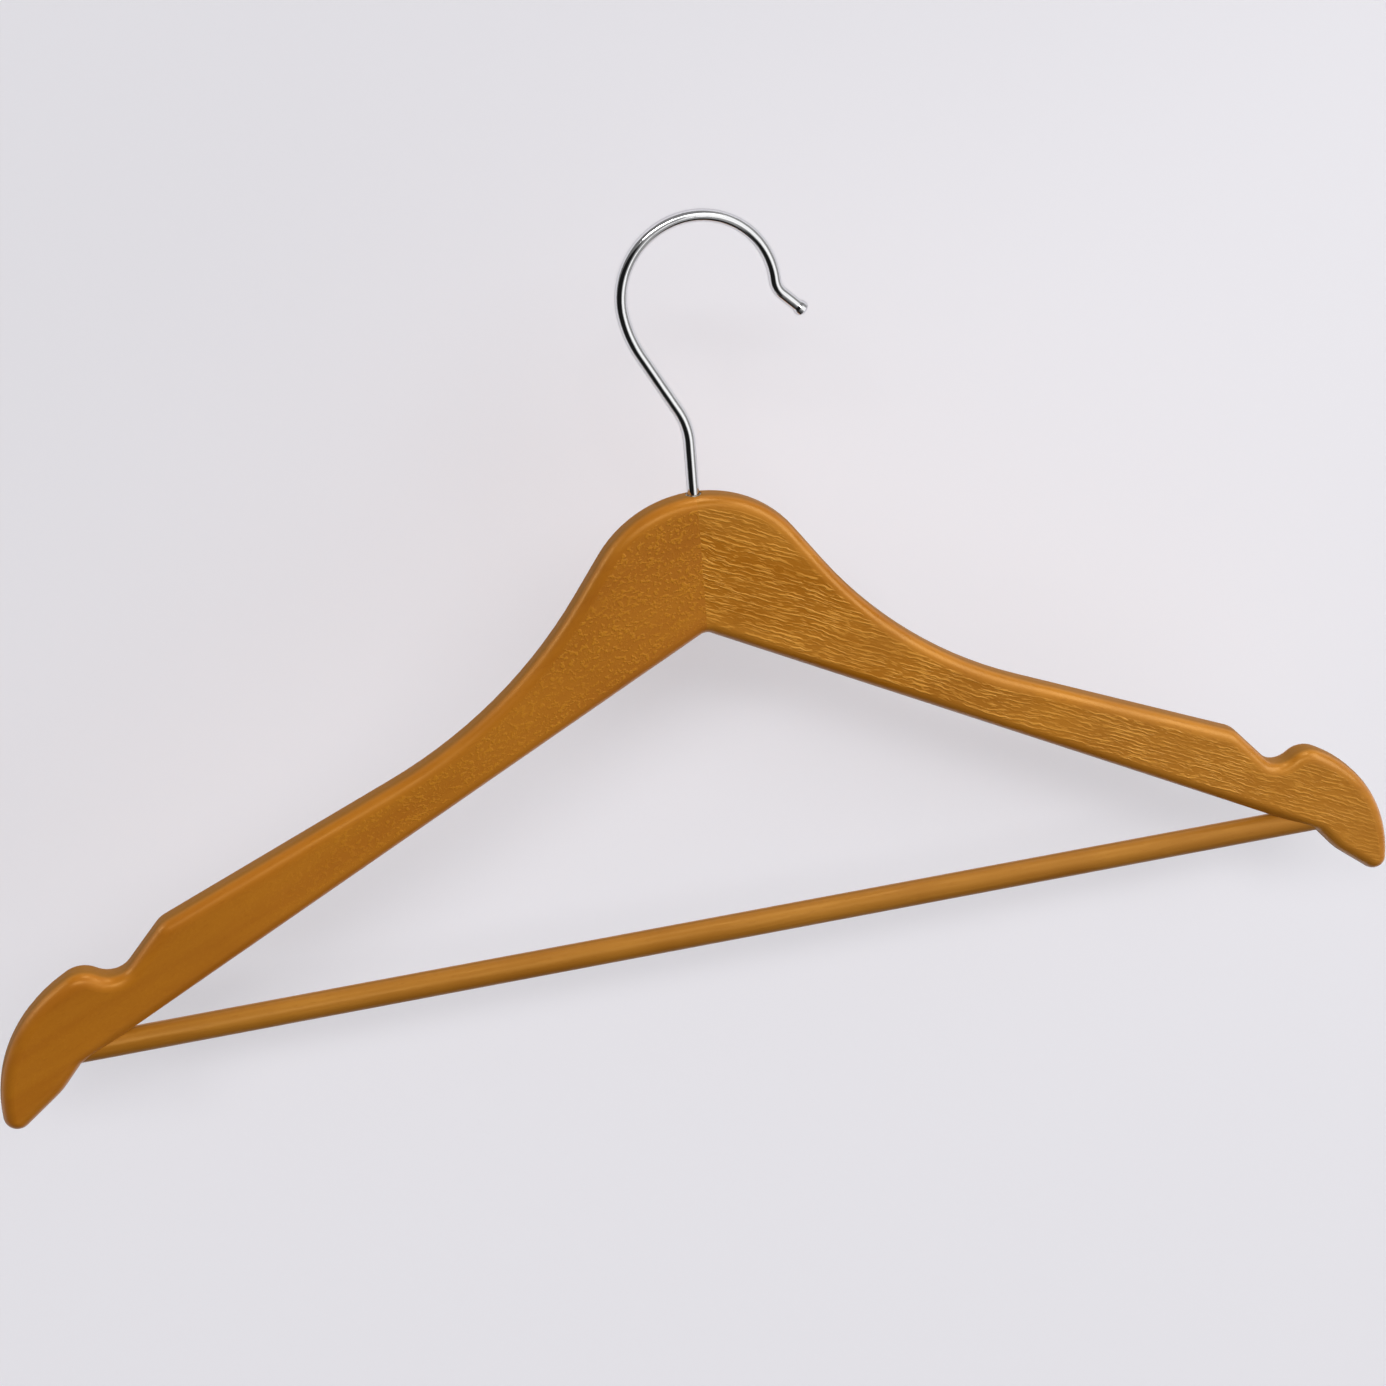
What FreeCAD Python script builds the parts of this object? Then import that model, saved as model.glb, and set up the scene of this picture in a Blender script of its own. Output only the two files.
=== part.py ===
"""Wooden clothes hanger with a round trouser bar and a swivelling wire hook.

Millimetres. +Z is up as the hanger hangs, +X runs along the hanger's width and -Y is its front.
The origin is on the swivel axis at the inside of the hook's bow, where a rail carries the hanger.
"""
import FreeCAD, Part
import math
import os
from collections import namedtuple

# A corner of the outline: inset from the hanger's end, drop below the shoulder, and its radius.
Corner = namedtuple("Corner", "inset drop radius")

# ---------------------------------------------------------------- driving dimensions
# wooden frame
hanger_width = 445.0
board_thickness = 10.0
edge_round = 4.0  # round-over along every long edge of the frame
neck_depth = 42.1  # crown of the neck down to the corner under it
crown_radius = 35.5
flank_angle = 54.5  # fall of the neck's flanks, degrees
neck_reach = 60.0  # from the middle to where a flank's line meets the shoulder's line
neck_sweep_radius = 142.4  # hollow curve from flank to shoulder
shoulder_drop = 105.2  # crown down to the shoulder's outer corner
shoulder = Corner(54.7, 0.0, 8.2)
notch_bottom = Corner(39.8, 16.6, 7.8)  # strap notch
notch_crest = Corner(30.3, 9.7, 9.4)
outer_curve = Corner(0.0, 27.2, 55.0)
tip = Corner(0.0, 64.1, 4.7)
belly = Corner(18.5, 49.4, 25.2)
inner_corner = Corner(25.2, 41.5, 2.5)  # where the bar comes out
inner_apex_radius = 3.0
longest_arc_share = 0.99  # of a side's length, for the two arcs that end on it
largest_round_of_tip = 0.9  # the round-over is never more than this share of the tip's radius
largest_round_of_board = 0.45  # nor of the board's thickness
tolerance = 0.001

# comb joint between the two arms
comb_fingers = 4
comb_reach = 5.0  # each finger crosses the middle by this much
comb_cheek = 1.7  # straight shoulder that closes the comb at the front and the back
comb_taper = 0.25  # a finger's flank leans by this much over its length

# trouser bar
bar_diameter = 8.0
bar_under_corner = 0.5  # the bar's underside lies this far below the frame's inner corner
bar_end_inset = 12.5  # from the hanger's tip to the end of the bar
bar_glue_gap = 0.05
bar_end_gap = 0.4
bar_chamfer = 0.6

# hook: the runs and bends of its wire, in order from the shank to the tip, angles in degrees
wire_diameter = 3.5
seat_height = 76.7  # rail seat above the crown of the neck
shank_bend_radius = 20.3
shank_bend_angle = 28.5
lean_length = 19.8  # straight run that leans away from the shank
lead_radius = 36.0  # wider curve from the leaning run into the bow
lead_angle = 19.8
bow_radius = 21.9
bow_angle = 185.5
tail_bend_radius = 6.3
tail_bend_angle = 43.0
tail_length = 5.5
tip_bead_diameter = 4.3
tip_bead_swell = 0.8  # length over which the wire swells into the bead
tip_bead_length = 3.2
tip_bead_dome = 1.1

# sleeve that the hook turns in; a bead rolled into its wall runs in a groove round the shank
swivel_clearance = 0.07
sleeve_wall = 0.5
sleeve_length = 16.0
sleeve_sink = 0.3  # the sleeve's rim lies this far under the crown
barb_count = 5
barb_pitch = 1.8
barb_height = 0.15
barb_bite = 0.08  # the barbs press this far into the wood
top_barb_depth = 2.0  # topmost barb's edge below the sleeve's rim
lock_height = 3.5  # middle of the rolled-in bead above the sleeve's lower end
lock_length = 1.6
lock_depth = 0.35
lock_clearance = 0.3
shank_overrun = 0.8  # the shank ends this far below the sleeve
shank_chamfer = 0.4
bore_end_gap = 0.6
drill_point_angle = 59.0  # half angle of the bore's conical end, degrees

# brads that pin the bar's ends, driven from the back
brad_diameter = 1.2
brad_head_diameter = 2.4
brad_head_thickness = 0.5
brad_point = 1.5
brad_stop = 1.0  # the point stops this far short of the bar's front
brad_from_bar_end = 6.0

# ---------------------------------------------------------------- sizes that follow from them
half_width = hanger_width / 2
wire_radius = wire_diameter / 2
bar_radius = bar_diameter / 2
crown_z = -seat_height
shoulder_z = crown_z - shoulder_drop
thickest_round = min(largest_round_of_tip * tip.radius, largest_round_of_board * board_thickness)
round_over = min(edge_round, thickest_round)
sleeve_bore_radius = wire_radius + swivel_clearance
sleeve_radius = sleeve_bore_radius + sleeve_wall
frame_bore_radius = sleeve_radius + barb_height - barb_bite
sleeve_top_z = crown_z - sleeve_sink
sleeve_bottom_z = sleeve_top_z - sleeve_length
lock_z = sleeve_bottom_z + lock_height
shank_foot_z = sleeve_bottom_z - shank_overrun
frame_bore_bottom_z = shank_foot_z - bore_end_gap
bar_z = shoulder_z - inner_corner.drop - bar_under_corner + bar_radius
bar_half_length = half_width - bar_end_inset
brad_x = bar_half_length - brad_from_bar_end
brad_length = board_thickness / 2 + bar_radius - brad_stop


def vec(x, y, z):
    return FreeCAD.Vector(x, y, z)


# ---------------------------------------------------------------- outline of the wooden frame
def end_corners():
    """Right end's corners as (x, z, radius), from the shoulder round the tip to the inside.

    Each is placed from the hanger's end and from the shoulder's height, so the end keeps its
    shape when the width or the drop changes.
    """
    corners = [shoulder, notch_bottom, notch_crest, outer_curve, tip, belly, inner_corner]
    return [(half_width - c.inset, shoulder_z - c.drop, c.radius) for c in corners]


def frame_corners():
    """Closed list of (x, z, radius) round the whole frame, clockwise from the crown."""
    slope = math.radians(flank_angle)
    crown_corner_z = crown_z - crown_radius + crown_radius / math.cos(slope)
    neck_corner_z = crown_corner_z - neck_reach * math.tan(slope)
    right = [(neck_reach, neck_corner_z, neck_sweep_radius)] + end_corners()
    left = [(-x, z, radius) for x, z, radius in reversed(right)]
    crown = [(0.0, crown_corner_z, crown_radius)]
    apex = [(0.0, crown_z - neck_depth, inner_apex_radius)]
    return crown + right + apex + left


def rounded_wire(corners, y):
    """Closed wire at depth y through the corners, each one replaced by its tangent arc.

    Where two arcs would overrun the side between them, both are made smaller to share it.
    """
    points = [vec(x, y, z) for x, z, radius in corners]
    count = len(points)
    back = [(points[i - 1] - points[i]).normalize() for i in range(count)]
    ahead = [(points[(i + 1) % count] - points[i]).normalize() for i in range(count)]
    half = [back[i].getAngle(ahead[i]) / 2 for i in range(count)]
    reach = [corners[i][2] / math.tan(half[i]) for i in range(count)]
    share = [1.0] * count
    for i in range(count):
        j = (i + 1) % count
        room = longest_arc_share * points[i].distanceToPoint(points[j])
        fit = min(1.0, room / (reach[i] + reach[j]))
        share[i] = min(share[i], fit)
        share[j] = min(share[j], fit)
    starts = []
    ends = []
    edges = []
    for i in range(count):
        length = reach[i] * share[i]
        radius = length * math.tan(half[i])
        middle = (back[i] + ahead[i]).normalize()
        top = points[i] + middle * (radius / math.sin(half[i]) - radius)
        starts.append(points[i] + back[i] * length)
        ends.append(points[i] + ahead[i] * length)
        edges.append(Part.Arc(starts[i], top, ends[i]).toShape())
    for i in range(count):
        edges.append(Part.LineSegment(ends[i - 1], starts[i]).toShape())
    return Part.Wire(Part.__sortEdges__(edges))


def frame_blank():
    """The frame in one piece: the outline at full thickness, with every long edge rounded over."""
    outline = rounded_wire(frame_corners(), -board_thickness / 2)
    board = Part.Face(outline).extrude(vec(0, board_thickness, 0))
    rims = [edge for edge in board.Edges if edge.BoundBox.YLength < tolerance]
    return board.makeFillet(round_over, rims)


# ---------------------------------------------------------------- arms and their comb joint
def comb_profile():
    """Points (x, y) of the joint line seen from above, from the front face to the back face.

    The line is the same when the hanger is turned round, so both arms are cut alike.
    """
    half_comb = board_thickness / 2 - comb_cheek
    pitch = 2 * half_comb / comb_fingers
    lean = comb_taper * pitch
    points = [(0.0, -board_thickness), (0.0, -half_comb)]
    side = 1
    for finger in range(comb_fingers):
        start = -half_comb + finger * pitch
        points.append((side * comb_reach, start + lean / 2))
        points.append((side * comb_reach, start + pitch - lean / 2))
        side = -side
    points.append((0.0, half_comb))
    points.append((0.0, board_thickness))
    return points


def right_of_joint():
    """Solid that holds everything on the right arm's side of the joint."""
    floor = -2 * hanger_width
    points = [vec(x, y, floor) for x, y in comb_profile()]
    points.append(vec(hanger_width, board_thickness, floor))
    points.append(vec(hanger_width, -board_thickness, floor))
    points.append(points[0])
    return Part.Face(Part.makePolygon(points)).extrude(vec(0, 0, 2 * hanger_width))


def hook_bore():
    """Bore down from the crown for the sleeve and the hook's shank, with a drill's conical end."""
    cone = frame_bore_radius / math.tan(math.radians(drill_point_angle))
    shaft = Part.makeCylinder(frame_bore_radius, seat_height, vec(0, 0, frame_bore_bottom_z))
    point = Part.makeCone(0, frame_bore_radius, cone, vec(0, 0, frame_bore_bottom_z - cone))
    return shaft.fuse(point)


def bar_bore():
    """Socket for the bar's end, along X, closed inside the right arm's tip."""
    depth = bar_half_length + bar_end_gap
    radius = bar_radius + bar_glue_gap
    return Part.makeCylinder(radius, depth, vec(0, 0, bar_z), vec(1, 0, 0))


def brad():
    """Small wire nail in the bar's right end, driven forward from the back face."""
    shank_radius = brad_diameter / 2
    head_r = brad_head_diameter / 2
    profile = [
        vec(0, 0, 0),
        vec(head_r, 0, 0),
        vec(head_r, 0, brad_head_thickness),
        vec(shank_radius, 0, brad_head_thickness),
        vec(shank_radius, 0, brad_length - brad_point),
        vec(0, 0, brad_length),
        vec(0, 0, 0),
    ]
    nail = Part.Face(Part.makePolygon(profile)).revolve(vec(0, 0, 0), vec(0, 0, 1), 360)
    nail.rotate(vec(0, 0, 0), vec(1, 0, 0), 90)
    nail.translate(vec(brad_x, board_thickness / 2, bar_z))
    return nail


def mirrored(shape):
    """The same piece on the hanger's other side."""
    return shape.mirror(vec(0, 0, 0), vec(1, 0, 0))


def right_arm():
    arm = frame_blank().common(right_of_joint())
    return arm.cut([hook_bore(), bar_bore(), brad()])


def left_arm():
    arm = frame_blank().cut(right_of_joint())
    return arm.cut([hook_bore(), mirrored(bar_bore()), mirrored(brad())])


# ---------------------------------------------------------------- trouser bar
def trouser_bar():
    length = 2 * bar_half_length
    bar = Part.makeCylinder(bar_radius, length, vec(-bar_half_length, 0, bar_z), vec(1, 0, 0))
    rims = [edge for edge in bar.Edges if edge.BoundBox.XLength < tolerance]
    bar = bar.makeChamfer(bar_chamfer, rims)
    return bar.cut([brad(), mirrored(brad())])


# ---------------------------------------------------------------- hook
def along(heading, length):
    """Step in the XZ plane along a heading in degrees, counted from +X towards +Z."""
    turn = math.radians(heading)
    return vec(math.cos(turn), 0, math.sin(turn)) * length


def bend(start, heading, radius, turn):
    """Arc that leaves start along a heading and turns left by an angle, or right if it is negative.

    Returns the edge, its end and its centre.
    """
    side = math.copysign(90, turn)
    centre = start - along(heading - side, radius)
    middle = centre + along(heading - side + turn / 2, radius)
    end = centre + along(heading - side + turn, radius)
    return Part.Arc(start, middle, end).toShape(), end, centre


def hook_path():
    """Centre line of the wire from its foot to the bead, with the rail seat at the origin.

    Returns the path, its end and the heading there.
    """
    bends_start = vec(0, 0, 0)
    heading = 90
    shank_bend, lean_start, _ = bend(bends_start, heading, shank_bend_radius, shank_bend_angle)
    heading += shank_bend_angle
    lead_start = lean_start + along(heading, lean_length)
    lead, bow_start, _ = bend(lead_start, heading, lead_radius, -lead_angle)
    heading -= lead_angle
    bow, bow_end, bow_centre = bend(bow_start, heading, bow_radius, -bow_angle)
    heading -= bow_angle
    tail_bend, tail_start, _ = bend(bow_end, heading, tail_bend_radius, tail_bend_angle)
    heading += tail_bend_angle
    tail_end = tail_start + along(heading, tail_length)
    inside = bow_radius - wire_radius
    seat_z = bow_centre.z + math.sqrt(inside ** 2 - bow_centre.x ** 2)
    foot = vec(0, 0, shank_foot_z + seat_z)
    path = Part.Wire([
        Part.LineSegment(foot, bends_start).toShape(),
        shank_bend,
        Part.LineSegment(lean_start, lead_start).toShape(),
        lead,
        bow,
        tail_bend,
        Part.LineSegment(tail_start, tail_end).toShape(),
    ])
    drop = vec(0, 0, -seat_z)
    path.translate(drop)
    return path, tail_end + drop, heading


def tip_bead(end, heading):
    """Upset bead on the hook's tip: the wire swells, runs straight and closes in a shallow dome."""
    bead_radius = tip_bead_diameter / 2
    dome_start = tip_bead_length - tip_bead_dome
    sphere = (bead_radius ** 2 + tip_bead_dome ** 2) / (2 * tip_bead_dome)
    half_arc = math.asin(bead_radius / sphere) / 2
    dome_middle = vec(
        sphere * math.sin(half_arc),
        0,
        tip_bead_length - sphere + sphere * math.cos(half_arc),
    )
    points = [
        vec(0, 0, tip_bead_length),
        vec(0, 0, -tip_bead_swell),
        vec(wire_radius, 0, -tip_bead_swell),
        vec(wire_radius, 0, 0),
        vec(bead_radius, 0, tip_bead_swell),
        vec(bead_radius, 0, dome_start),
    ]
    dome = Part.Arc(points[-1], dome_middle, points[0]).toShape()
    profile = Part.Wire(Part.makePolygon(points).Edges + [dome])
    bead = Part.Face(profile).revolve(vec(0, 0, 0), vec(0, 0, 1), 360)
    aim = FreeCAD.Rotation(vec(0, 0, 1), along(heading, 1))
    bead.Placement = FreeCAD.Placement(end, aim)
    return bead


def lock_groove():
    """Ring of metal turned away round the shank, for the sleeve's bead to run in."""
    floor = sleeve_bore_radius - lock_depth - lock_clearance
    length = lock_length + 2 * lock_clearance
    low = vec(0, 0, lock_z - length / 2)
    return Part.makeCylinder(wire_diameter, length, low).cut(Part.makeCylinder(floor, length, low))


def hook_wire():
    path, end, heading = hook_path()
    section = Part.Wire(Part.makeCircle(wire_radius, vec(0, 0, shank_foot_z), vec(0, 0, 1)))
    wire = path.makePipeShell([section], True, False)
    wire = wire.fuse(tip_bead(end, heading)).cut(lock_groove()).removeSplitter()
    foot = [edge for edge in wire.Edges if edge.BoundBox.ZMax < shank_foot_z + tolerance]
    return wire.makeChamfer(shank_chamfer, foot)


# ---------------------------------------------------------------- sleeve
def sleeve_bead(radius):
    """Arc of the bead that is rolled into the sleeve's wall, on its side at a radius."""
    low = vec(radius, 0, lock_z - lock_length / 2)
    deepest = vec(radius - lock_depth, 0, lock_z)
    high = vec(radius, 0, lock_z + lock_length / 2)
    return low, high, Part.Arc(low, deepest, high).toShape()


def hook_sleeve():
    """Thin barbed sleeve pressed down into the neck; the hook's shank turns in it."""
    top = sleeve_top_z
    bottom = sleeve_bottom_z
    inner_low, inner_high, inner_bead = sleeve_bead(sleeve_bore_radius)
    outer_low, outer_high, outer_bead = sleeve_bead(sleeve_radius)
    points = [outer_high]
    for i in reversed(range(barb_count)):
        edge = top - top_barb_depth - i * barb_pitch
        points.append(vec(sleeve_radius, 0, edge - barb_pitch / 2))
        points.append(vec(sleeve_radius + barb_height, 0, edge))
        points.append(vec(sleeve_radius, 0, edge))
    points.append(vec(sleeve_radius, 0, top))
    points.append(vec(sleeve_bore_radius, 0, top))
    points.append(inner_high)
    end = [
        inner_low,
        vec(sleeve_bore_radius, 0, bottom),
        vec(sleeve_radius, 0, bottom),
        outer_low,
    ]
    edges = Part.makePolygon(points).Edges + [inner_bead] + Part.makePolygon(end).Edges + [outer_bead]
    profile = Part.Wire(Part.__sortEdges__(edges))
    return Part.Face(profile).revolve(vec(0, 0, 0), vec(0, 0, 1), 360)


# ---------------------------------------------------------------- export
def main():
    os.makedirs("parts", exist_ok=True)
    pieces = {
        "left_arm": left_arm(),
        "right_arm": right_arm(),
        "trouser_bar": trouser_bar(),
        "left_bar_brad": mirrored(brad()),
        "right_bar_brad": brad(),
        "hook_sleeve": hook_sleeve(),
        "hook_wire": hook_wire(),
    }
    for name, shape in pieces.items():
        shape.Solids[0].exportStep("parts/" + name + ".step")


main()
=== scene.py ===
"""Looks of a wooden clothes hanger with a round trouser bar and a chrome wire hook.

Metres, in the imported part's own frame: +Z up as the hanger hangs, -Y its front, and the origin
at the inside of the hook's bow.
"""
import logging
import math
from dataclasses import dataclass
from enum import Enum

import bmesh
import bpy
from mathutils import Matrix, Vector


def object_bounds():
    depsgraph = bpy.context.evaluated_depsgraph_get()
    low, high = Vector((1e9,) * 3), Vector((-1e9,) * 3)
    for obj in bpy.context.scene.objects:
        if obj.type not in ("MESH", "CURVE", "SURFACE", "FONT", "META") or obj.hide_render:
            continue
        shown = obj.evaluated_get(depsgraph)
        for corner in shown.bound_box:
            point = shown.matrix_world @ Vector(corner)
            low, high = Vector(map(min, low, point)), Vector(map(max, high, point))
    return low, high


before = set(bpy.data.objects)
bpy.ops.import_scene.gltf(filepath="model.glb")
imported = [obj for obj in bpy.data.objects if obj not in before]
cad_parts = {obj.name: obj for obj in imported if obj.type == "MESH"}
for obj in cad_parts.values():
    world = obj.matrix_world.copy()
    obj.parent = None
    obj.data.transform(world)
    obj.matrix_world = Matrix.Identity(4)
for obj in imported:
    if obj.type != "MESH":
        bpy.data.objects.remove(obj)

LOG = logging.getLogger("hanger")
CAD_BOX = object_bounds()

Socket = bpy.types.NodeSocket
Colour = tuple[float, float, float]
Extent = tuple[float, float, float]
Span = tuple[float, float]


class Figure(Enum):
    """How the wood's grain shows through the lacquer."""

    STREAKED = "long raised streaks along the arm"
    SPECKLED = "short raised flecks"
    TURNED = "faint straight lines on a turned rod"


class Side(Enum):
    """The two sides of the hanger, as the sign of X."""

    LEFT = -1
    RIGHT = 1

    @property
    def word(self) -> str:
        """The side's name as the nodes' names have it."""
        return self.name.lower()


class Axis(Enum):
    """The three axes, as places in a position."""

    X = 0
    Y = 1
    Z = 2


# ---------------------------------------------------------------- shader graphs
class Graph:
    """Shader nodes of one material or world, added one after the other."""

    def __init__(self, tree: bpy.types.NodeTree) -> None:
        """Start an empty graph.

        Args:
            tree: The node tree, whose own nodes are removed.
        """
        tree.nodes.clear()
        self.tree = tree

    def add(self, kind: str, inputs: dict[str | int, object] | None = None,
            **settings: object) -> bpy.types.Node:
        """Add a node, set it up and connect it.

        Args:
            kind: The node's Blender type name.
            inputs: Input name or number to a socket to link, or to a value to write.
            settings: Properties of the node itself.

        Returns:
            The new node.
        """
        node = self.tree.nodes.new(kind)
        for name, value in settings.items():
            setattr(node, name, value)
        for name, value in (inputs or {}).items():
            if isinstance(value, bpy.types.NodeSocket):
                self.tree.links.new(value, node.inputs[name])
            else:
                node.inputs[name].default_value = value
        return node

    def surface(self, kind: str, inputs: dict[str | int, object]) -> None:
        """Add the shader that the material shows.

        Args:
            kind: The shader's Blender type name.
            inputs: Input name or number to a socket to link, or to a value to write.
        """
        shader = self.add(kind, inputs)
        self.add("ShaderNodeOutputMaterial", {"Surface": shader.outputs[0]})

    def place(self) -> Socket:
        """Position on the hanger, in metres."""
        return self.add("ShaderNodeTexCoord").outputs["Object"]

    def along(self, point: Socket, axis: Axis) -> Socket:
        """One coordinate of a position."""
        return self.add("ShaderNodeSeparateXYZ", {0: point}).outputs[axis.value]

    def offset(self, point: Socket, axis: Axis) -> Socket:
        """How far a position is from the middle along one axis, on either side."""
        return self.math("ABSOLUTE", self.along(point, axis))

    def math(self, operation: str, a: Socket | float, b: Socket | float = 0.0) -> Socket:
        """Combine two numbers.

        Args:
            operation: Name of the operation, such as MULTIPLY.
            a: First number.
            b: Second number, which an operation on one number leaves unread.

        Returns:
            The result's socket.
        """
        return self.add("ShaderNodeMath", {0: a, 1: b}, operation=operation).outputs[0]

    def spread(self, value: Socket, low: float, high: float, to: Span = (0.0, 1.0)) -> Socket:
        """Map a number smoothly from one range to another, held at the ends.

        Args:
            value: The number.
            low: Where the input range starts.
            high: Where it ends.
            to: The output range.

        Returns:
            The mapped number's socket.
        """
        inputs = {"Value": value, "From Min": low, "From Max": high, "To Min": to[0], "To Max": to[1]}
        node = self.add("ShaderNodeMapRange", inputs, interpolation_type="SMOOTHSTEP")
        return node.outputs["Result"]

    def blend(self, share: Socket | float, a: Socket | Colour, b: Socket | Colour) -> Socket:
        """Mix two colours.

        Args:
            share: How much of the second colour shows.
            a: First colour.
            b: Second colour.

        Returns:
            The mixed colour's socket.
        """
        inputs = {0: share, 6: self.opaque(a), 7: self.opaque(b)}
        return self.add("ShaderNodeMix", inputs, data_type="RGBA").outputs[2]

    @staticmethod
    def opaque(colour: Socket | Colour) -> Socket | tuple[float, float, float, float]:
        """Give a written colour its fourth number, and leave a socket as it is."""
        return colour if isinstance(colour, bpy.types.NodeSocket) else (*colour, 1.0)

    def noise(self, point: Socket, size: Extent, detail: float = 2.0, shift: float = 0.0) -> Socket:
        """Smooth noise whose features have a given size.

        Args:
            point: Where to read it, in metres.
            size: The features' length along each axis, in metres.
            detail: Octaves of finer noise on top.
            shift: Moves the pattern, so that two readings differ.

        Returns:
            A number from 0 to 1, mostly near 0.5.
        """
        placing = {"Vector": point, "Scale": size, "Location": (shift,) * 3}
        place = self.add("ShaderNodeMapping", placing, vector_type="TEXTURE")
        inputs = {"Vector": place.outputs[0], "Scale": 1.0, "Detail": detail, "Roughness": 0.5}
        return self.add("ShaderNodeTexNoise", inputs).outputs[0]

    def bump(self, height: Socket, depth: float, under: Socket | None = None) -> Socket:
        """Raise the surface by a height from 0 to 1.

        Args:
            height: The height's socket.
            depth: What a height of 1 stands for, in metres.
            under: A bumped normal that this one goes on top of.

        Returns:
            The new normal's socket.
        """
        inputs = {"Height": height, "Distance": depth, "Strength": 1.0}
        if under is not None:
            inputs["Normal"] = under
        return self.add("ShaderNodeBump", inputs).outputs[0]


def new_material(name: str) -> tuple[bpy.types.Material, Graph]:
    """Make a material with an empty node graph.

    Args:
        name: The material's name.

    Returns:
        The material and its graph.
    """
    material = bpy.data.materials.new(name)
    material.use_nodes = True
    return material, Graph(material.node_tree)


# ---------------------------------------------------------------- noises
@dataclass(frozen=True)
class Patches:
    """Soft patches of noise, brought from one range of the noise to a range of strengths."""

    size: Extent
    low: float
    high: float
    to: Span = (0.0, 1.0)
    detail: float = 2.0
    shift: float = 0.0

    def read(self, graph: Graph, point: Socket, to: Span | None = None) -> Socket:
        """Read how strong the patches are.

        Args:
            graph: The material's graph.
            point: Where to read them, in metres.
            to: A range of strengths that takes the place of their own.

        Returns:
            The strength's socket.
        """
        noise = graph.noise(point, self.size, detail=self.detail, shift=self.shift)
        return graph.spread(noise, self.low, self.high, to or self.to)


@dataclass(frozen=True)
class Swing:
    """Slow noise that goes to both sides of zero."""

    size: Extent
    reach: float
    shift: float = 0.0

    def read(self, graph: Graph, point: Socket) -> Socket:
        """Read the noise.

        Args:
            graph: The material's graph.
            point: Where to read it, in metres.

        Returns:
            Its socket, from minus to plus half the reach.
        """
        noise = graph.noise(point, self.size, detail=1.0, shift=self.shift)
        return graph.math("MULTIPLY", graph.math("SUBTRACT", noise, 0.5), self.reach)


@dataclass(frozen=True)
class Relief:
    """Fine unevenness of a surface, the same in every direction."""

    size: float
    depth: float
    shift: float = 0.0

    def lay(self, graph: Graph, place: Socket, under: Socket | None = None) -> Socket:
        """Lay the unevenness over a surface.

        Args:
            graph: The material's graph.
            place: Position on the hanger.
            under: A bumped normal that this one goes on top of.

        Returns:
            The new normal's socket.
        """
        height = graph.noise(place, (self.size,) * 3, detail=1.0, shift=self.shift)
        return graph.bump(height, self.depth, under)


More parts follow.
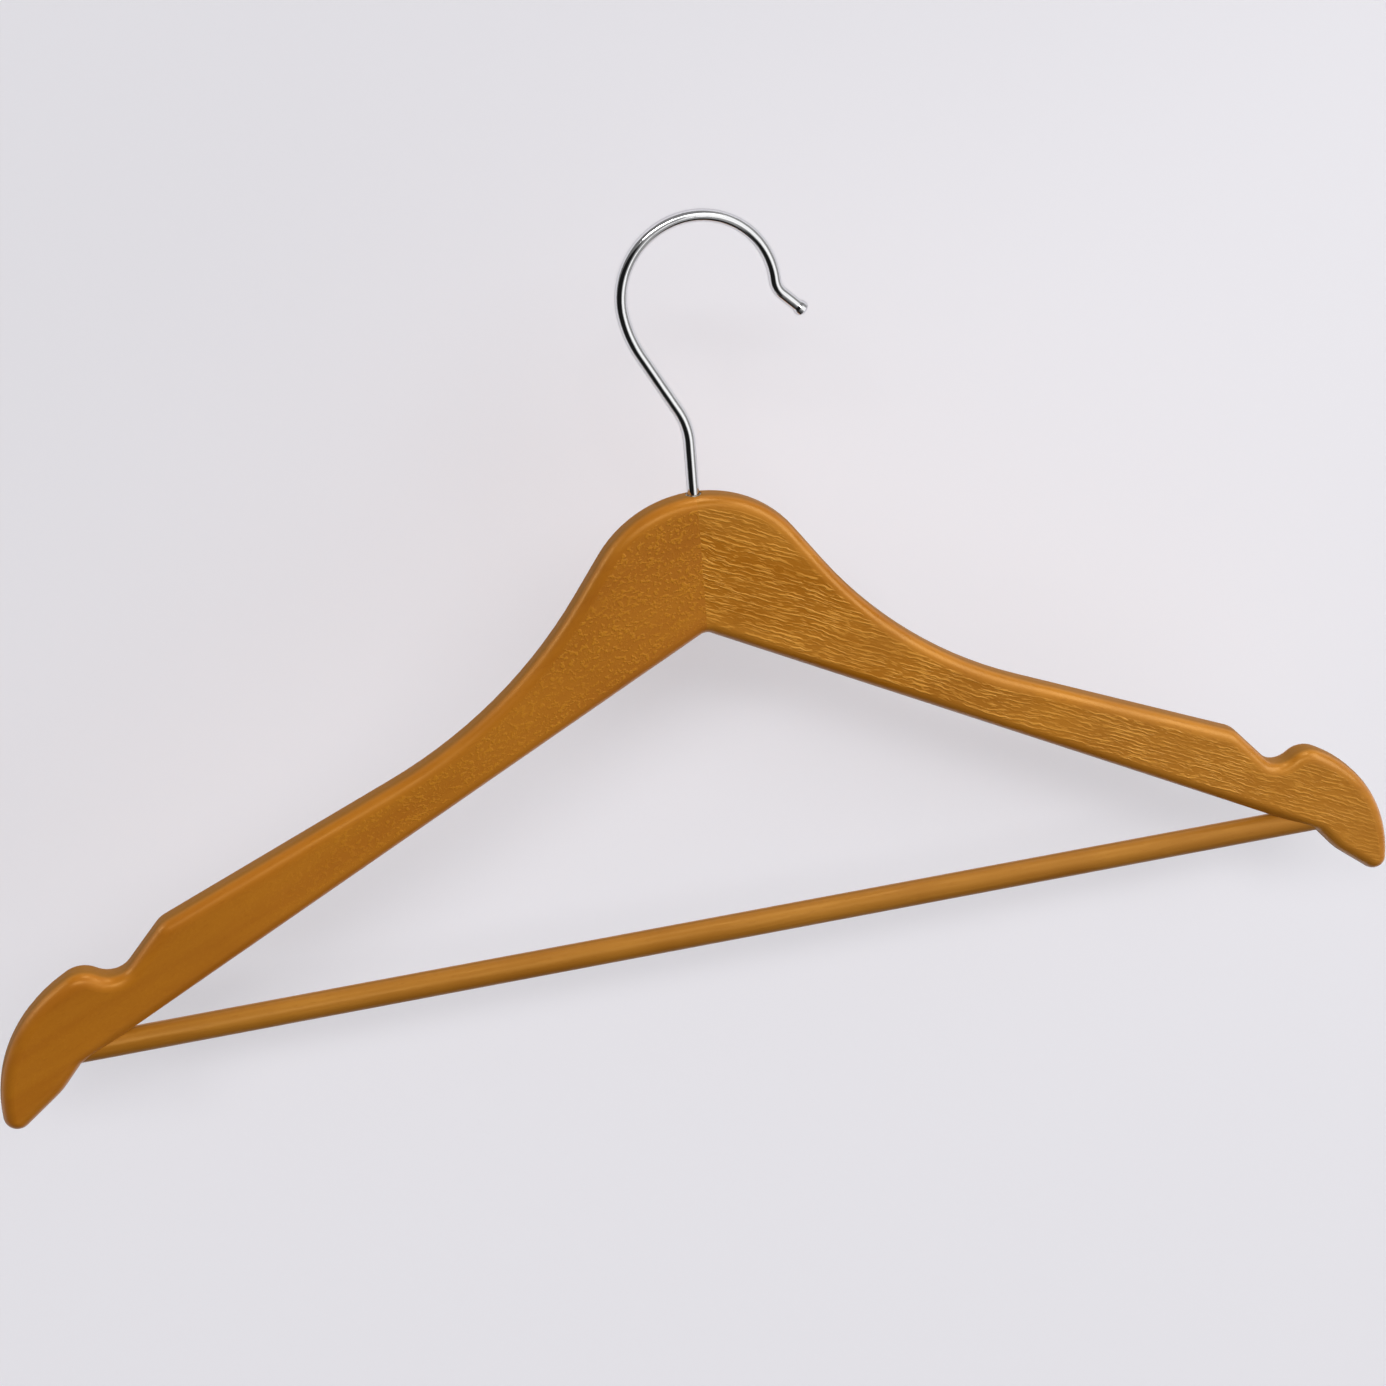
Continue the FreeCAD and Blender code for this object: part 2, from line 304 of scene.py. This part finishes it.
# ---------------------------------------------------------------- finishes
@dataclass(frozen=True)
class Grain:
    """Raised grain of one piece.

    The fall is the grain's slope in degrees. A ridge has a length, depth and width, a height over
    the face and a contrast with it, and long streaks repeat at the pitch. The face and the edge lie
    at their depths from the middle plane. Along X, the ridges fade out over a range.
    """

    figure: Figure
    fall: float
    ridge: Extent
    height: float
    contrast: float
    face_depth: float
    edge_depth: Span
    fade: Span
    pitch: float = 0.0
    worn_height: float = 0.15
    face_start: float = 0.985
    drift: Swing = Swing((0.03, 0.011, 0.011), 0.004, shift=0.7)
    wobble: Swing = Swing((0.0030, 0.0016, 0.0016), 0.0010, shift=1.3)
    crest: Span = (-0.1, 0.9)
    unbroken: Span = (0.41, 0.58)
    short: Span = (0.50, 0.68)
    short_size: Span = (0.45, 0.5)
    short_height: float = 0.65
    fleck: Span = (0.48, 0.68)
    patches: Patches = Patches((0.022, 0.022, 0.016), 0.3, 0.62, (0.6, 1.0), detail=1.0, shift=0.5)

    def follow(self, graph: Graph, place: Socket) -> Socket:
        """Turn a position along the grain, whose lines bend a little to and fro.

        Args:
            graph: The material's graph.
            place: Position on the hanger.

        Returns:
            The position along and across the grain.
        """
        turn = (0.0, math.radians(self.fall), 0.0)
        turned = graph.add("ShaderNodeMapping", {"Vector": place, "Rotation": turn}, vector_type="TEXTURE")
        straight = turned.outputs[0]
        bend = graph.math("ADD", self.drift.read(graph, straight), self.wobble.read(graph, straight))
        across = graph.add("ShaderNodeCombineXYZ", {"Z": bend}).outputs[0]
        return graph.add("ShaderNodeVectorMath", {0: straight, 1: across}, operation="ADD").outputs[0]

    def streaks(self, graph: Graph, grain: Socket) -> Socket:
        """Long ridges side by side, broken off here and there, with short ones between.

        Args:
            graph: The material's graph.
            grain: Position along and across the grain.

        Returns:
            Their height from 0 to 1.
        """
        length, depth, width = self.ridge
        shorter, narrower = self.short_size
        turns = graph.math("MULTIPLY", graph.along(grain, Axis.Z), math.tau / self.pitch)
        crest = graph.spread(graph.math("SINE", turns), *self.crest)
        unbroken = Patches(self.ridge, *self.unbroken, shift=0.2).read(graph, grain)
        short_ridge = (shorter * length, depth, narrower * width)
        short = Patches(short_ridge, *self.short, (0.0, self.short_height), shift=0.6).read(graph, grain)
        return graph.math("MAXIMUM", graph.math("MULTIPLY", crest, unbroken), short)

    def flecks(self, graph: Graph, grain: Socket) -> Socket:
        """Separate ridges scattered over the piece.

        Args:
            graph: The material's graph.
            grain: Position along and across the grain.

        Returns:
            Their height from 0 to 1.
        """
        return Patches(self.ridge, *self.fleck, detail=1.0).read(graph, grain)

    def ridges(self, graph: Graph, grain: Socket, place: Socket) -> Socket:
        """Height of the raised grain from 0 to 1, none on the rounded edges and less where it is worn.

        Args:
            graph: The material's graph.
            grain: Position along and across the grain.
            place: Position on the hanger.

        Returns:
            The height's socket.
        """
        raise_grain = self.streaks if self.figure is Figure.STREAKED else self.flecks
        height = graph.math("MULTIPLY", raise_grain(graph, grain), self.patches.read(graph, place))
        face_start = self.face_start * self.face_depth
        on_face = graph.spread(graph.offset(place, Axis.Y), face_start, self.face_depth)
        worn = graph.spread(graph.offset(place, Axis.X), *self.fade, (1.0, self.worn_height))
        return graph.math("MULTIPLY", height, graph.math("MULTIPLY", on_face, worn))

    def edge(self, graph: Graph, place: Socket) -> Socket:
        """How far a point is over the rounded edge, where a darker colour is painted as shade and the
        lacquer is duller.

        Args:
            graph: The material's graph.
            place: Position on the hanger.

        Returns:
            A share from 0 on the face to 1 in the middle of the board's edge.
        """
        return graph.spread(graph.offset(place, Axis.Y), *self.edge_depth, (1.0, 0.0))


@dataclass(frozen=True)
class LacqueredWood:
    """Satin amber lacquer over wood whose grain stands up in fine ridges."""

    name: str
    grain: Grain
    tone: Colour
    pale: Colour
    deep: Colour
    pale_end: float = 0.0
    pale_from: Span = (0.08, 0.15)
    roughness: Span = (0.25, 0.34)
    gloss_tint: Colour = (1.0, 0.62, 0.23)
    gloss_level: float = 0.8
    refraction: float = 1.45
    # painted shade: the darker colour laid over the middle of the rounded edges
    edge_painted_shade: Colour = (0.215, 0.086, 0.008)
    edge_shade_share: float = 0.85
    edge_dulling: float = 0.35
    valley_share: float = 0.12
    cloud: Patches = Patches((0.035, 0.02, 0.03), 0.32, 0.68, (0.0, 0.55), detail=3.0, shift=0.2)
    broad: Patches = Patches((0.09, 0.006, 0.006), 0.3, 0.7, (0.0, 0.28), detail=3.0, shift=0.4)
    pores: Patches = Patches((0.0035, 0.0005, 0.0005), 0.6, 0.74, (0.0, 0.35), detail=1.0, shift=0.9)
    gloss: Patches = Patches((0.02, 0.003, 0.003), 0.3, 0.7, shift=0.1)
    skin: Relief = Relief(0.0009, 0.000012)
    waves: Relief = Relief(0.014, 0.00012, shift=0.3)

    def make(self) -> bpy.types.Material:
        """Build the material.

        Returns:
            The finished material.
        """
        material, graph = new_material(self.name)
        place = graph.place()
        grain = self.grain.follow(graph, place)
        ridges = self.grain.ridges(graph, grain, place)
        edge = self.grain.edge(graph, place)
        normal = graph.bump(ridges, self.grain.height)
        normal = self.skin.lay(graph, place, normal)
        normal = self.waves.lay(graph, place, normal)
        satin = self.gloss.read(graph, grain, self.roughness)
        graph.surface("ShaderNodeBsdfPrincipled", {
            "Base Color": self.colour(graph, grain, place, ridges, edge),
            "Roughness": graph.math("ADD", satin, graph.math("MULTIPLY", edge, self.edge_dulling)),
            "Normal": normal,
            "IOR": self.refraction,
            "Specular IOR Level": self.gloss_level,
            "Specular Tint": graph.opaque(self.gloss_tint),
        })
        return material

    def colour(self, graph: Graph, grain: Socket, place: Socket, ridges: Socket, edge: Socket) -> Socket:
        """Colour of the stained and lacquered wood.

        Args:
            graph: The material's graph.
            grain: Position along and across the grain.
            place: Position on the hanger.
            ridges: Height of the raised grain.
            edge: How far a point is over the rounded edge.

        Returns:
            The colour's socket.
        """
        base = graph.blend(self.cloud.read(graph, place), self.tone, self.deep)
        base = graph.blend(self.broad.read(graph, grain), base, self.pale)
        outer = graph.spread(graph.offset(place, Axis.X), *self.pale_from, (0.0, self.pale_end))
        base = graph.blend(outer, base, self.pale)
        base = graph.blend(self.pores.read(graph, grain), base, self.deep)
        valley = graph.math("MULTIPLY", graph.math("SUBTRACT", 1.0, ridges), self.valley_share)
        base = graph.blend(valley, base, self.deep)
        # painted shade: darken the middle of the rounded edges
        base = graph.blend(graph.math("MULTIPLY", edge, self.edge_shade_share), base, self.edge_painted_shade)
        return graph.blend(graph.math("MULTIPLY", ridges, self.grain.contrast), base, self.pale)


@dataclass(frozen=True)
class PolishedChrome:
    """Bright chrome plate over drawn wire, with the faint waver of a bent rod."""

    name: str
    tone: Colour = (0.86, 0.86, 0.87)
    stain_tone: Colour = (0.72, 0.72, 0.74)
    edge_tint: Colour = (0.5, 0.5, 0.52)
    haze: Patches = Patches((0.004, 0.004, 0.006), 0.35, 0.7, (0.05, 0.11), detail=3.0)
    stain: Patches = Patches((0.009, 0.009, 0.012), 0.45, 0.8, (0.0, 0.3), detail=4.0, shift=0.3)
    waver: Relief = Relief(0.005, 0.00008, shift=0.6)
    grit: Relief = Relief(0.0005, 0.000002, shift=0.8)

    def make(self) -> bpy.types.Material:
        """Build the material.

        Returns:
            The finished material.
        """
        material, graph = new_material(self.name)
        place = graph.place()
        graph.surface("ShaderNodeBsdfPrincipled", {
            "Base Color": graph.blend(self.stain.read(graph, place), self.tone, self.stain_tone),
            "Metallic": 1.0,
            "Roughness": self.haze.read(graph, place),
            "Normal": self.grit.lay(graph, place, self.waver.lay(graph, place)),
            "Specular Tint": graph.opaque(self.edge_tint),
        })
        return material


@dataclass(frozen=True)
class PlainSteel:
    """Small steel part with fine lines from its making and a little tarnish."""

    name: str
    tone: Colour
    tarnish: Colour
    roughness: float
    line_size: Extent
    line_depth: float = 0.000008
    line_gloss: Span = (0.08, 0.1)
    line_range: Span = (0.3, 0.7)
    spots: Patches = Patches((0.0008, 0.0008, 0.0008), 0.45, 0.7, (0.0, 0.6), detail=3.0, shift=0.4)

    def make(self) -> bpy.types.Material:
        """Build the material.

        Returns:
            The finished material.
        """
        material, graph = new_material(self.name)
        place = graph.place()
        lines = graph.noise(place, self.line_size)
        brighter, duller = self.line_gloss
        gloss = (self.roughness - brighter, self.roughness + duller)
        graph.surface("ShaderNodeBsdfPrincipled", {
            "Base Color": graph.blend(self.spots.read(graph, place), self.tone, self.tarnish),
            "Metallic": 1.0,
            "Roughness": graph.spread(lines, *self.line_range, gloss),
            "Normal": graph.bump(lines, self.line_depth),
        })
        return material


@dataclass(frozen=True)
class PaleWall:
    """Matt pale backdrop with painted shade towards its upper left, that a camera behind it sees through.
    """

    name: str = "pale_wall"
    tone: Colour = (0.880, 0.867, 0.913)
    shade: float = 0.918
    slant: float = 0.45
    shade_range: Span = (-0.20, 0.10)
    cloud: Swing = Swing((0.25, 0.25, 0.2), 0.1)

    def make(self) -> bpy.types.Material:
        """Build the material.

        Returns:
            The finished material.
        """
        material, graph = new_material(self.name)
        place = graph.place()
        sideways = graph.math("MULTIPLY", graph.along(place, Axis.X), self.slant)
        corner = graph.math("SUBTRACT", graph.along(place, Axis.Z), sideways)
        corner = graph.math("ADD", corner, self.cloud.read(graph, place))
        # painted shade: the backdrop's tone darkened towards its upper left
        shaded = tuple(self.shade * part for part in self.tone)
        tone = graph.blend(graph.spread(corner, *self.shade_range), self.tone, shaded)
        matt = graph.add("ShaderNodeBsdfDiffuse", {"Color": tone})
        clear = graph.add("ShaderNodeBsdfTransparent")
        behind = graph.add("ShaderNodeNewGeometry").outputs["Backfacing"]
        seen = graph.add("ShaderNodeLightPath").outputs["Is Camera Ray"]
        open_back = graph.math("MULTIPLY", behind, seen)
        graph.surface("ShaderNodeMixShader", {0: open_back, 1: matt.outputs[0], 2: clear.outputs[0]})
        return material


def dress(node: str, material: bpy.types.Material) -> None:
    """Give a carried-over node its finish and report it.

    Args:
        node: The node's name.
        material: The finish.
    """
    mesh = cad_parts[node].data
    mesh.materials.clear()
    mesh.materials.append(material)
    LOG.info("%s: %s, %d faces", node, material.name, len(mesh.polygons))


# ---------------------------------------------------------------- sub-assemblies
@dataclass
class Arm:
    """One contoured arm of the frame: the right one is streaked, the left one flecked."""

    side: Side
    grain_fall: float = 25.5
    half_thickness: float = 0.005
    edge_depth: Span = (0.0018, 0.0032)

    def streaked(self) -> LacqueredWood:
        """Wood with long streaks, paler towards the arm's end.

        Returns:
            The wood's finish.
        """
        grain = Grain(
            Figure.STREAKED, self.side.value * self.grain_fall, ridge=(0.0070, 0.004, 0.0012), pitch=0.0013,
            height=0.00012, contrast=0.76, face_depth=self.half_thickness, edge_depth=self.edge_depth,
            fade=(0.160, 0.250))
        return LacqueredWood(
            f"{self.side.word}_arm_wood", grain, pale_end=0.18,
            tone=(0.352, 0.115, 0.0015), pale=(0.70, 0.318, 0.048), deep=(0.250, 0.073, 0.0010))

    def flecked(self) -> LacqueredWood:
        """Smoother wood with small flecks that die out along the arm.

        Returns:
            The wood's finish.
        """
        grain = Grain(
            Figure.SPECKLED, self.side.value * self.grain_fall, ridge=(0.0011, 0.002, 0.0007),
            height=0.00008, contrast=0.48, face_depth=self.half_thickness, edge_depth=self.edge_depth,
            fade=(0.070, 0.150))
        return LacqueredWood(
            f"{self.side.word}_arm_wood", grain, pale_end=0.06, roughness=(0.30, 0.38),
            tone=(0.388, 0.128, 0.0100), pale=(0.54, 0.220, 0.014), deep=(0.310, 0.095, 0.0060))

    def build(self) -> None:
        """Dress the arm's node."""
        wood = self.streaked() if self.side is Side.RIGHT else self.flecked()
        dress(f"{self.side.word}_arm", wood.make())


@dataclass
class TrouserBar:
    """Turned rod between the arms and the brads that pin its ends."""

    radius: float = 0.004
    half_length: float = 0.210
    brad_lines: Extent = (0.0006, 0.0006, 0.0001)

    def wood(self) -> LacqueredWood:
        """Duller wood with faint lines along the rod.

        Returns:
            The wood's finish.
        """
        grain = Grain(
            Figure.TURNED, 0.0, ridge=(0.045, 0.0014, 0.0014), height=0.00002, contrast=0.15,
            face_depth=0.25 * self.radius, edge_depth=(0.0, 0.2 * self.radius),
            fade=(self.half_length, 2 * self.half_length))
        return LacqueredWood(
            "bar_wood", grain, roughness=(0.38, 0.48),
            tone=(0.312, 0.120, 0.0100), pale=(0.41, 0.178, 0.025), deep=(0.238, 0.080, 0.0040))

    def build(self) -> None:
        """Dress the bar and both brads."""
        dress("trouser_bar", self.wood().make())
        steel = PlainSteel(
            "brad_steel", tone=(0.52, 0.51, 0.49), tarnish=(0.30, 0.27, 0.23), roughness=0.36,
            line_size=self.brad_lines).make()
        for side in Side:
            dress(f"{side.word}_bar_brad", steel)


@dataclass
class SwivelHook:
    """Wire hook and the sleeve it turns in."""

    sleeve_lines: Extent = (0.0004, 0.0004, 0.003)

    def build(self) -> None:
        """Dress the wire and the sleeve."""
        dress("hook_wire", PolishedChrome("hook_chrome").make())
        steel = PlainSteel(
            "sleeve_steel", tone=(0.33, 0.29, 0.23), tarnish=(0.22, 0.18, 0.13), roughness=0.42,
            line_size=self.sleeve_lines)
        dress("hook_sleeve", steel.make())


# ---------------------------------------------------------------- studio
def direction(azimuth: float, elevation: float) -> Vector:
    """Point away from the hanger.

    Args:
        azimuth: Degrees from the front, towards the hanger's right end.
        elevation: Degrees above level.

    Returns:
        The direction, of length 1.
    """
    turn, rise = math.radians(azimuth), math.radians(elevation)
    return Vector((math.sin(turn) * math.cos(rise), -math.cos(turn) * math.cos(rise), math.sin(rise)))


@dataclass(frozen=True)
class Softbox:
    """Rectangular lamp that looks at the hanger, as a key light or as a fill with no shadow."""

    name: str
    azimuth: float
    elevation: float
    distance: float
    width: float
    height: float
    power: float
    casts: bool = True
    kept_off: str = ""

    def build(self, aim: Vector) -> None:
        """Place the lamp.

        Args:
            aim: The point that it looks at.
        """
        lamp = bpy.data.lights.new(self.name, "AREA")
        lamp.shape = "RECTANGLE"
        lamp.size = self.width
        lamp.size_y = self.height
        lamp.energy = self.power
        lamp.use_shadow = self.casts
        item = bpy.data.objects.new(self.name, lamp)
        away = direction(self.azimuth, self.elevation)
        item.location = aim + away * self.distance
        item.rotation_mode = "QUATERNION"
        item.rotation_quaternion = away.to_track_quat("Z", "Y")
        item.visible_camera = False
        bpy.context.scene.collection.objects.link(item)
        if self.kept_off:
            self.screen(item)

    def screen(self, item: bpy.types.Object) -> None:
        """Keep the lamp's light off one node.

        Args:
            item: The lamp's object.
        """
        group = bpy.data.collections.new(f"{self.name}_screen")
        group.objects.link(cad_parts[self.kept_off])
        item.light_linking.receiver_collection = group
        group.collection_objects[0].light_linking.link_state = "EXCLUDE"


@dataclass(frozen=True)
class Zone:
    """Round zone of the room's light, seen from the hanger, its core and soft edge given in degrees."""

    azimuth: float
    elevation: float
    core: float
    edge: float
    level: float

    def lay(self, graph: Graph, towards: Socket, colour: Socket | Colour) -> Socket:
        """Lay the zone over the room's light.

        Args:
            graph: The room's graph.
            towards: The direction that is looked in.
            colour: The light so far.

        Returns:
            The light with the zone.
        """
        middle = direction(self.azimuth, self.elevation)
        near = graph.add("ShaderNodeVectorMath", {0: towards, 1: middle}, operation="DOT_PRODUCT")
        rim, core = math.cos(math.radians(self.edge)), math.cos(math.radians(self.core))
        return graph.blend(graph.spread(near.outputs["Value"], rim, core), colour, (self.level,) * 3)


@dataclass
class Studio:
    """Backdrop, room light, lamps and camera.

    A zone's numbers are its azimuth, elevation, core, edge and level, and a lamp's are its azimuth,
    elevation, distance, width, height and power.
    """

    wall_depth: float = 0.09
    wall_size: float = 2.6
    room_level: float = 0.32
    backdrop: Colour = (0.775, 0.752, 0.80)
    backdrop_side: Span = (0.0, 0.2)
    camera_at: Extent = (-0.13566, -0.63003, 0.15798)
    camera_turn: Extent = (0.43196, -0.2049, -0.08042)
    lens: float = 62.34
    sensor: float = 36.0
    nearest: float = 0.01
    zones: tuple[Zone, ...] = (
        Zone(-85.0, 35.0, 30.0, 60.0, 0.16),
        Zone(20.0, 74.0, 14.0, 32.0, 0.22),
        Zone(-40.0, -15.0, 34.0, 43.0, 0.01),
        Zone(0.0, -82.0, 26.0, 38.0, 0.02),
    )
    lamps: tuple[Softbox, ...] = (
        Softbox("upper_strip", -15.7, 32.5, 8.0, 3.68, 0.80, 116.0),
        Softbox("upper_softbox", 7.4, 29.3, 8.0, 6.08, 2.18, 92.0),
        Softbox("side_window", 31.0, 10.0, 6.0, 4.4, 8.0, 82.0, casts=False),
        Softbox("right_rim_softbox", 60.0, 24.0, 7.5, 3.0, 7.0, 330.0, casts=False, kept_off="hook_wire"),
        Softbox("left_rim_softbox", -86.0, 28.0, 6.0, 2.2, 2.2, 75.0, casts=False, kept_off="hook_wire"),
        Softbox("crown_softbox", 44.0, 70.0, 6.0, 2.0, 2.0, 90.0, casts=False, kept_off="hook_wire"),
    )

    def build(self) -> None:
        """Set up everything round the hanger."""
        low, high = CAD_BOX
        aim = (Vector(low) + Vector(high)) / 2
        self.wall(aim)
        for lamp in self.lamps:
            lamp.build(aim)
        self.room()
        self.camera()
        bpy.context.scene.view_settings.view_transform = "Standard"

    def wall(self, aim: Vector) -> None:
        """Put a flat pale wall behind the hanger, clear of the hook's sweep.

        Args:
            aim: The hanger's middle.
        """
        upright = Matrix.Rotation(math.radians(90.0), 4, "X")
        stand = Matrix.Translation((aim.x, self.wall_depth, aim.z)) @ upright
        sheet = bmesh.new()
        bmesh.ops.create_grid(sheet, x_segments=1, y_segments=1, size=self.wall_size / 2, matrix=stand)
        mesh = bpy.data.meshes.new("backdrop")
        sheet.to_mesh(mesh)
        sheet.free()
        mesh.materials.append(PaleWall().make())
        item = bpy.data.objects.new("backdrop", mesh)
        bpy.context.scene.collection.objects.link(item)

    def room(self) -> None:
        """Light from the room: even, with darker zones that the chrome picks up.

        The camera, and gloss that faces the backdrop's side, see the backdrop's colour instead.
        """
        world = bpy.data.worlds.new("room")
        world.use_nodes = True
        bpy.context.scene.world = world
        graph = Graph(world.node_tree)
        towards = graph.add("ShaderNodeTexCoord").outputs["Generated"]
        colour: Socket | Colour = (self.room_level,) * 3
        for zone in self.zones:
            colour = zone.lay(graph, towards, colour)
        path = graph.add("ShaderNodeLightPath").outputs
        behind = graph.spread(graph.along(towards, Axis.Y), *self.backdrop_side)
        mirrored = graph.math("MULTIPLY", path["Is Glossy Ray"], behind)
        seen = graph.math("MAXIMUM", path["Is Camera Ray"], mirrored)
        colour = graph.blend(seen, colour, self.backdrop)
        glow = graph.add("ShaderNodeBackground", {"Color": colour, "Strength": 1.0})
        graph.add("ShaderNodeOutputWorld", {"Surface": glow.outputs[0]})

    def camera(self) -> None:
        """Put the camera where the photograph was taken from.

        The turn is the view's pitch, yaw and roll, from a level look at the hanger's front.
        """
        lens = bpy.data.cameras.new("camera")
        lens.sensor_width = self.sensor
        lens.lens = self.lens
        lens.clip_start = self.nearest
        item = bpy.data.objects.new("camera", lens)
        bpy.context.scene.collection.objects.link(item)
        pitch, yaw, roll = self.camera_turn
        level = Matrix(((1, 0, 0), (0, 0, -1), (0, 1, 0)))  # rows: right, down and into the picture
        turned = Matrix.Rotation(pitch, 3, "X") @ Matrix.Rotation(yaw, 3, "Y") @ level
        seen = Matrix.Rotation(roll, 3, "Z") @ turned
        flip = Matrix(((1, 0, 0), (0, -1, 0), (0, 0, -1)))  # a camera's own axes: right, up and backwards
        item.rotation_mode = "QUATERNION"
        item.rotation_quaternion = (seen.transposed() @ flip).to_quaternion()
        item.location = self.camera_at
        bpy.context.scene.camera = item


def main() -> None:
    """Dress every piece and set up the studio."""
    logging.basicConfig(level=logging.INFO, format="%(message)s")
    for side in Side:
        Arm(side).build()
    TrouserBar().build()
    SwivelHook().build()
    Studio().build()


if __name__ == "__main__":
    main()
